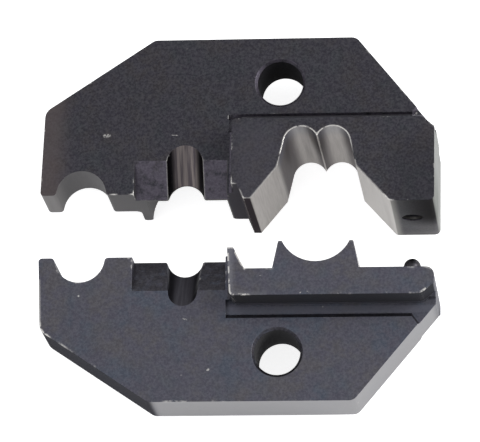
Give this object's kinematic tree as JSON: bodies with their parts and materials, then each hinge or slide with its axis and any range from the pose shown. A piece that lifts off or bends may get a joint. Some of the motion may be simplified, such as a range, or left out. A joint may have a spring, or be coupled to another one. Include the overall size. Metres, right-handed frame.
{
  "type": "crimp die",
  "caption": "Two-part die set for a hand crimp tool: a round nest, a wire stripping nest with a bevelled blade, a W-shaped crimp profile with its anvil, screw holes and a guide pin.",
  "frame": {"origin": "centre of the bounding box at the back faces, on which both halves lie", "axes": "+X along the die from the round nest to the guide pin, +Y from the lower half towards the upper half, the upper half closes along -Y, +Z out of the front faces"},
  "size_m": [0.0364, 0.0346, 0.0115],
  "materials": {
    "upper_black_steel": "black oxide on tool steel, worn bright at the edges",
    "lower_black_steel": "black oxide on tool steel, worn bright at the edges",
    "pin_steel": "ground and hardened steel, darkened"
  },
  "bodies": {
    "fixed_jaw_half": {"lower_die": "lower_black_steel", "guide_pin": "pin_steel"},
    "moving_jaw_half": {"upper_die": "upper_black_steel"}
  },
  "joints": [
    {"name": "jaw_stroke", "type": "slide", "parent": "fixed_jaw_half", "child": "moving_jaw_half", "axis": [0, -1, 0], "range_m": [0, 0.0059]}
  ]
}
